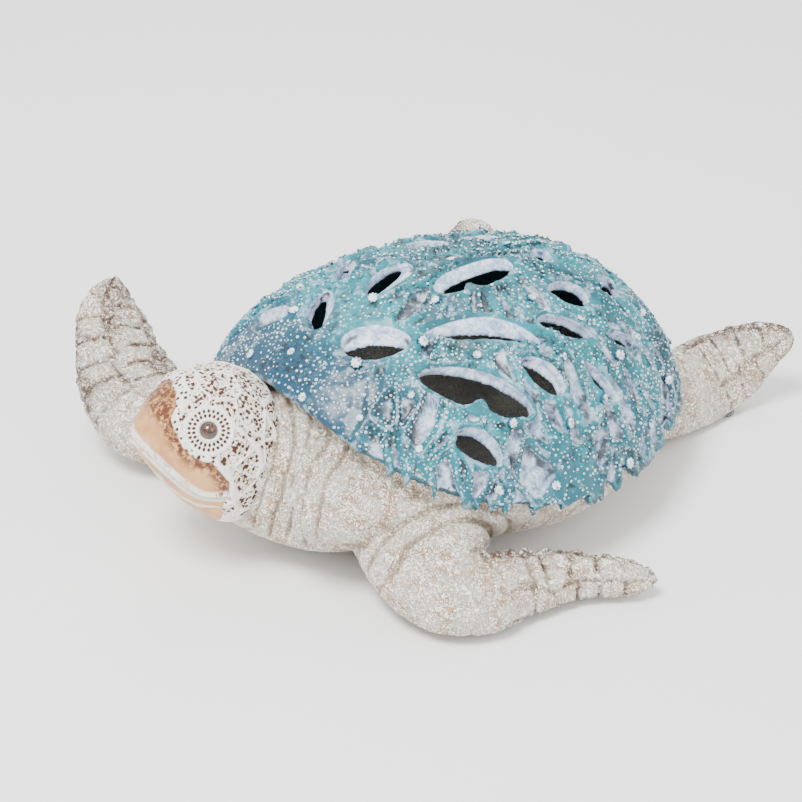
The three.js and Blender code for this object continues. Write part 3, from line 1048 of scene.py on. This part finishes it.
def linear(red, green, blue):
    """Screen colour from 0 to 255 to a linear shader colour."""
    share = np.array([red, green, blue]) / 255
    value = np.where(share <= 0.04045, share / 12.92, ((share + 0.055) / 1.055) ** 2.4)
    return (*value.tolist(), 1.0)


class Wiring:
    """Short hands for placing and joining nodes in one tree."""

    def __init__(self, tree):
        self.tree = tree

    def node(self, kind, **settings):
        made = self.tree.nodes.new(kind)
        for name, value in settings.items():
            setattr(made, name, value)
        return made

    def join(self, source, target):
        if isinstance(source, (int, float, tuple)):
            target.default_value = source
        else:
            self.tree.links.new(source, target)

    def attribute(self, name):
        return self.node("ShaderNodeAttribute", attribute_name=name).outputs["Fac"]

    def math(self, operation, first, second=0.0, clamp=False):
        made = self.node("ShaderNodeMath", operation=operation, use_clamp=clamp)
        self.join(first, made.inputs[0])
        self.join(second, made.inputs[1])
        return made.outputs[0]

    def times(self, first, second):
        return self.math("MULTIPLY", first, second)

    def here(self):
        return self.node("ShaderNodeTexCoord").outputs["Object"]

    def blend(self, share, first, second):
        made = self.node("ShaderNodeMix", data_type="RGBA")
        self.join(share, made.inputs[0])
        self.join(first, made.inputs[6])
        self.join(second, made.inputs[7])
        return made.outputs[2]

    def ramp(self, value, low, high, start=0.0, end=1.0):
        made = self.node("ShaderNodeMapRange", interpolation_type="SMOOTHSTEP")
        self.join(value, made.inputs["Value"])
        self.join(low, made.inputs["From Min"])
        self.join(high, made.inputs["From Max"])
        self.join(start, made.inputs["To Min"])
        self.join(end, made.inputs["To Max"])
        return made.outputs["Result"]

    def noise(self, vector, scale, detail=3.0, roughness=0.55, distortion=0.0):
        made = self.node("ShaderNodeTexNoise")
        self.join(vector, made.inputs["Vector"])
        self.join(scale, made.inputs["Scale"])
        made.inputs["Detail"].default_value = detail
        made.inputs["Roughness"].default_value = roughness
        made.inputs["Distortion"].default_value = distortion
        return made.outputs["Fac"]

    def specks(self, vector, scale):
        made = self.node("ShaderNodeTexVoronoi")
        self.join(vector, made.inputs["Vector"])
        made.inputs["Scale"].default_value = scale
        return made.outputs["Distance"]


def new_group(name, inputs, outputs):
    """An empty shader node group with float inputs and named outputs."""
    tree = bpy.data.node_groups.new(name, "ShaderNodeTree")
    for label, value in inputs:
        socket = tree.interface.new_socket(label, in_out="INPUT", socket_type="NodeSocketFloat")
        socket.default_value = value
    for label in outputs:
        tree.interface.new_socket(label, in_out="OUTPUT", socket_type="NodeSocketFloat")
    wiring = Wiring(tree)
    return tree, wiring, wiring.node("NodeGroupInput"), wiring.node("NodeGroupOutput")


def skin_wrinkles():
    """Group: fine worm-like wrinkles. Crest runs from 0 in a wrinkle to 1 between them, Wash
    is the uneven strength of the stain that stays in them."""
    tree, w, given, result = new_group(
        "skin wrinkles", [("Size", 1.0), ("Wander", 1.0)], ["Crest", "Wash", "Grain"])
    place_node = w.here()
    scaled = w.node("ShaderNodeVectorMath", operation="SCALE")
    w.join(place_node, scaled.inputs[0])
    w.join(given.outputs["Size"], scaled.inputs["Scale"])
    fine = w.noise(scaled.outputs[0], 520, 2.0, 0.55, 1.8)
    coarse = w.noise(scaled.outputs[0], 250, 2.5, 0.6, 1.4)
    fine_line = w.math("ABSOLUTE", w.math("SUBTRACT", fine, 0.5))
    coarse_line = w.math("ABSOLUTE", w.math("SUBTRACT", coarse, 0.5))
    crest = w.times(w.ramp(fine_line, 0.0, 0.06), w.ramp(coarse_line, 0.0, 0.045))
    w.join(crest, result.inputs["Crest"])
    wash_and_shade = w.ramp(w.times(w.noise(place_node, 95, 3.0), given.outputs["Wander"]), 0.42, 0.66)
    w.join(wash_and_shade, result.inputs["Wash"])
    w.join(w.noise(place_node, 1500, 2.0), result.inputs["Grain"])
    return tree


def brushed_paint():
    """Group: dry-brushed paint. Cover is where the brush has caught, from the height given."""
    tree, w, given, result = new_group(
        "brushed paint", [("Height", 0.0), ("Reach", 0.5), ("Scale", 300.0)], ["Cover"])
    streak = w.noise(w.here(), given.outputs["Scale"], 5.0, 0.7, 0.6)
    reached = w.times(given.outputs["Height"], given.outputs["Reach"])
    lifted = w.math("ADD", streak, reached)
    w.join(w.ramp(lifted, 0.62, 0.72), result.inputs["Cover"])
    return tree


WRINKLES = skin_wrinkles()
BRUSHED = brushed_paint()


def use_group(w, tree, **values):
    """Places a group and sets or joins its inputs."""
    made = w.node("ShaderNodeGroup", node_tree=tree)
    for name, value in values.items():
        w.join(value, made.inputs[name])
    return made.outputs


def new_material(name, roughness, coat=0.0):
    """A material with its wiring and shader."""
    material = bpy.data.materials.new(name)
    material.use_nodes = True
    w = Wiring(material.node_tree)
    shader = material.node_tree.nodes["Principled BSDF"]
    shader.inputs["Roughness"].default_value = roughness
    shader.inputs["Coat Weight"].default_value = coat
    shader.inputs["Coat Roughness"].default_value = 0.25
    return material, w, shader


def bump(w, shader, height, strength, distance=0.0003):
    """Feeds a height into the shader's normal."""
    made = w.node("ShaderNodeBump")
    made.inputs["Strength"].default_value = strength
    made.inputs["Distance"].default_value = distance
    w.join(height, made.inputs["Height"])
    w.join(made.outputs["Normal"], shader.inputs["Normal"])


CHALK = linear(255, 250, 238)
SAND = linear(198, 142, 86)
UMBER = linear(84, 48, 26)
# SHADE is painted shade for the crevices of the skin
SHADE = linear(164, 142, 112)


def whitewashed_skin():
    """Chalk white over sand, with tan and umber left in wrinkles and grooves."""
    material, w, shader = new_material("whitewashed skin", 0.72)
    wrinkles = use_group(w, WRINKLES, Size=1.0, Wander=1.0)
    crevice, stain = w.attribute("crevice"), w.attribute("stain")
    sunk = w.math("SUBTRACT", 1.0, wrinkles["Crest"])
    colour = w.blend(w.times(sunk, w.ramp(wrinkles["Wash"], 0, 1, 0.4, 1.0)), CHALK, SAND)
    # Painted shade: the skin's crevices darkened toward a grey tan
    colour = w.blend(w.times(w.ramp(crevice, 0.1, 0.7), 0.65), colour, SHADE)
    object_place = w.here()
    patchy = w.ramp(w.noise(object_place, 330, 4.0, 0.65), 0.45, 0.6)
    caught = w.math("ADD", w.times(w.math("MAXIMUM", sunk, patchy), 0.75), 0.15)
    brown = w.times(w.ramp(stain, 0.1, 0.6), caught)
    colour = w.blend(brown, colour, UMBER)
    # The back under the shell: dark grey, partly its bare unpainted resin and partly painted shade
    # under the shell
    inside = w.attribute("inside")
    bare_floor_and_shade = w.blend(w.noise(object_place, 60, 4.0), linear(106, 110, 110), linear(146, 138, 126))
    colour = w.blend(inside, colour, bare_floor_and_shade)
    w.join(colour, shader.inputs["Base Color"])
    height = w.math("ADD", wrinkles["Crest"], w.times(wrinkles["Grain"], 0.25))
    bump(w, shader, height, 1.0, 0.0009)
    return material


def carved_head():
    """Chalk white cords over umber pits, and a tan beak stained darker at the brow."""
    material, w, shader = new_material("carved head", 0.62)
    object_place = w.here()
    wrinkles = use_group(w, WRINKLES, Size=1.15, Wander=0.9)
    sunk = w.math("SUBTRACT", 1.0, wrinkles["Crest"])
    lace, pit, horn = w.attribute("lace"), w.attribute("pit"), w.attribute("horn")
    skin = w.blend(w.times(sunk, w.ramp(wrinkles["Wash"], 0, 1, 0.2, 0.7)), CHALK, SAND)
    speck = w.ramp(w.noise(object_place, 900, 2.0, 0.6), 0.52, 0.62)
    cord = w.attribute("cord")
    open_cell = w.times(lace, w.math("SUBTRACT", 1.0, cord, clamp=True))
    skin = w.blend(w.times(speck, open_cell), skin, UMBER)
    skin = w.blend(w.ramp(pit, 0.1, 0.45), skin, linear(72, 38, 20))
    solid = w.math("SUBTRACT", 1.0, w.ramp(pit, 0.1, 0.4))
    skin = w.blend(w.times(w.ramp(cord, 0.3, 0.8), solid), skin, linear(252, 250, 246))
    cloud = w.ramp(w.noise(object_place, 130, 4.0), 0.35, 0.7)
    tan = w.blend(cloud, linear(214, 164, 108), linear(190, 134, 82))
    streak = w.ramp(w.noise(object_place, 520, 5.0, 0.7), 0.36, 0.56)
    tan = w.blend(w.times(w.ramp(w.attribute("burnt"), 0.05, 0.8), streak), tan, linear(92, 44, 16))
    smear = w.ramp(w.noise(object_place, 210, 4.0, 0.7, 1.4), 0.32, 0.5)
    smear = w.times(w.ramp(w.attribute("chalk"), 0.1, 0.6), smear)
    tan = w.blend(smear, tan, linear(238, 233, 226))
    colour = w.blend(w.ramp(horn, 0.35, 0.65), skin, tan)
    # Painted shade: the head's crevices darkened toward umber
    colour = w.blend(w.times(w.ramp(w.attribute("crevice"), 0.25, 0.9), 0.35), colour, UMBER)
    w.join(colour, shader.inputs["Base Color"])
    w.join(w.ramp(horn, 0.4, 0.6, 0.68, 0.42), shader.inputs["Roughness"])
    quiet = w.times(wrinkles["Crest"], w.math("SUBTRACT", 1.0, horn, clamp=True))
    bump(w, shader, w.math("SUBTRACT", quiet, w.times(w.times(speck, open_cell), 0.7)), 0.5)
    return material


def sea_blue_shell():
    """Turquoise with navy in front, white brushed on crests and hollows, fine white flecks,
    and painted shade, near black, in the deepest lines."""
    material, w, shader = new_material("sea blue shell", 0.38, coat=0.15)
    object_place = w.here()
    tide = w.noise(object_place, 42, 4.0, 0.6)
    colour = w.blend(w.ramp(tide, 0.35, 0.65), linear(0, 82, 96), linear(0, 128, 140))
    deep = w.math("MAXIMUM", w.times(w.attribute("ahead"), 0.85), w.times(w.attribute("low"), 0.35))
    colour = w.blend(deep, colour, linear(0, 54, 84))
    cloud = use_group(w, BRUSHED, Height=w.attribute("crest"), Reach=0.16, Scale=190.0)["Cover"]
    colour = w.blend(w.times(cloud, 0.4), colour, linear(186, 210, 226))
    patch = w.ramp(w.noise(object_place, 34, 3.0), 0.5, 0.62)
    mottle = w.times(w.ramp(w.noise(object_place, 420, 3.0, 0.7), 0.48, 0.58), patch)
    colour = w.blend(w.times(mottle, 0.85), colour, linear(8, 22, 28))
    near = w.specks(object_place, 620.0)
    spread = w.ramp(w.noise(object_place, 75, 3.0), 0.48, 0.74)
    fleck = w.times(w.ramp(near, 0.34, 0.22), spread)
    colour = w.blend(w.times(fleck, 0.8), colour, linear(214, 230, 236))
    streak = w.ramp(w.noise(object_place, 240, 5.0, 0.7, 0.8), 0.35, 0.65)
    pale = w.blend(streak, linear(222, 230, 243), linear(120, 150, 188))
    ragged = w.times(w.noise(object_place, 260, 4.0, 0.65), 0.6)
    floor = w.ramp(w.math("ADD", w.attribute("floor"), ragged), 0.6, 0.95)
    colour = w.blend(w.times(floor, 0.85), colour, pale)
    colour = w.blend(w.ramp(w.attribute("wall"), 0.2, 0.65), colour, pale)
    # Painted shade: the deepest hollows darkened to near black, in patches
    shade_patches = w.ramp(w.noise(object_place, 120, 4.0, 0.6), 0.4, 0.6)
    wash_and_shade = w.times(w.ramp(w.attribute("crevice"), 0.1, 0.4), shade_patches)
    colour = w.blend(w.times(wash_and_shade, 0.9), colour, linear(10, 20, 26))
    colour = w.blend(w.attribute("lining"), colour, linear(40, 84, 98))
    w.join(colour, shader.inputs["Base Color"])
    dull = w.math("MAXIMUM", w.attribute("wall"), w.attribute("lining"))
    w.join(w.ramp(dull, 0.0, 1.0, 0.36, 0.7), shader.inputs["Roughness"])
    height = w.math("ADD", w.times(fleck, 0.8), w.noise(object_place, 700, 3.0))
    bump(w, shader, height, 0.35)
    return material


def barnacle_white():
    """Chalky white crowns, sea blue at the foot, and a black pit."""
    material, w, shader = new_material("barnacle white", 0.5)
    object_place = w.here()
    worn = w.ramp(w.noise(object_place, 520, 3.0), 0.3, 0.55)
    crown = w.times(w.ramp(w.attribute("top"), 0.1, 0.7), worn)
    colour = w.blend(crown, linear(0, 80, 108), linear(236, 243, 246))
    colour = w.blend(w.ramp(w.attribute("pit"), 0.5, 0.95), colour, linear(34, 44, 50))
    w.join(colour, shader.inputs["Base Color"])
    bump(w, shader, w.noise(object_place, 1200, 2.0), 0.3)
    return material


def amber_eye():
    """Glossy brown eye with golden flecks."""
    material, w, shader = new_material("amber eye", 0.12, coat=1.0)
    object_place = w.here()
    fleck = w.ramp(w.noise(object_place, 520, 4.0, 0.7, 1.2), 0.42, 0.66)
    colour = w.blend(fleck, linear(30, 14, 7), linear(104, 60, 30))
    near = w.specks(object_place, 700.0)
    colour = w.blend(w.times(w.ramp(near, 0.3, 0.12), 0.1), colour, linear(206, 166, 112))
    w.join(colour, shader.inputs["Base Color"])
    return material


def clear_rubber():
    """Clear soft rubber with a faint haze."""
    material, w, shader = new_material("clear rubber", 0.18)
    object_place = w.here()
    haze = w.noise(object_place, 400, 3.0)
    w.join(w.blend(haze, linear(236, 239, 240), linear(222, 226, 228)), shader.inputs["Base Color"])
    shader.inputs["Transmission Weight"].default_value = 0.85
    shader.inputs["IOR"].default_value = 1.45
    bump(w, shader, haze, 0.1)
    return material


def finish_piece(thing, material, *nodes, slot):
    """Paints a piece, lets it ride on the root body and stand for CAD nodes."""
    thing.data.materials.clear()
    thing.data.materials.append(material)
    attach(thing, "root")
    if nodes:
        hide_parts(*nodes)


def build_turtle():
    """All pieces of the figure with their materials."""
    shell, spots = build_shell()
    finish_piece(shell, sea_blue_shell(), "carapace", slot="blue_shell")
    white = barnacle_white()
    for piece in build_barnacles(shell, spots):
        finish_piece(piece, white, slot="blue_shell")
    body = build_body()
    finish_piece(body, whitewashed_skin(), "body", slot="sand_body")
    head, eye_places = build_head()
    finish_piece(head, carved_head(), slot="sand_body")
    finish_piece(build_eyes(eye_places), amber_eye(), slot="sand_body")
    rubber = clear_rubber()
    for node in ("pad_front_left", "pad_front_right", "pad_hind_left", "pad_hind_right"):
        finish_piece(build_pad(node), rubber, node, slot="clear_pad")


def build_studio():
    """Pale floor, soft lights from above and the front, and the camera."""
    bpy.ops.mesh.primitive_plane_add(size=6.0)
    floor = bpy.context.object
    floor.name = "floor"
    material, w, shader = new_material("pale floor", 0.9)
    cloud = w.noise(w.here(), 3.0)
    grey = w.blend(cloud, (0.90, 0.90, 0.90, 1), (0.94, 0.94, 0.94, 1))
    w.join(grey, shader.inputs["Base Color"])
    floor.data.materials.append(material)
    world = bpy.data.worlds.new("studio")
    world.use_nodes = True
    world.node_tree.nodes["Background"].inputs["Color"].default_value = (1, 1, 1, 1)
    world.node_tree.nodes["Background"].inputs["Strength"].default_value = 1.32
    bpy.context.scene.world = world
    aim = place(CAMERA_AIM)
    for name, azimuth, elevation, distance, size, power in (
        ("key", 20, 62, 1.3, 0.45, 26),
        ("fill", 110, 35, 1.5, 1.0, 6),
        ("back", 235, 50, 1.4, 0.8, 6),
    ):
        lamp = bpy.data.lights.new(name, "AREA")
        lamp.size = size
        lamp.energy = power
        thing = bpy.data.objects.new(name, lamp)
        back = bearing(azimuth, elevation)
        thing.location = aim + back * distance
        thing.rotation_euler = look_along(-back)
        bpy.context.scene.collection.objects.link(thing)
    camera = bpy.data.objects.new("camera", bpy.data.cameras.new("camera"))
    back = bearing(CAMERA_AZIMUTH, CAMERA_ELEVATION)
    camera.location = aim + back * CAMERA_DISTANCE
    camera.rotation_euler = look_along(-back)
    camera.data.lens = 103.24
    camera.data.sensor_width = 36
    camera.data.clip_start = 0.05
    camera.data.clip_end = 20
    bpy.context.scene.collection.objects.link(camera)
    bpy.context.scene.camera = camera


def bearing(azimuth, elevation):
    """Unit vector from the figure toward an azimuth (0 ahead, 90 left) and elevation."""
    a, e = math.radians(azimuth), math.radians(elevation)
    return np.array([math.sin(a) * math.cos(e), -math.cos(a) * math.cos(e), math.sin(e)])


def look_along(direction):
    """Turn that points an object's -Z along a direction, its top up."""
    return Vector(direction.tolist()).to_track_quat("-Z", "Y").to_euler()


build_turtle()
build_studio()
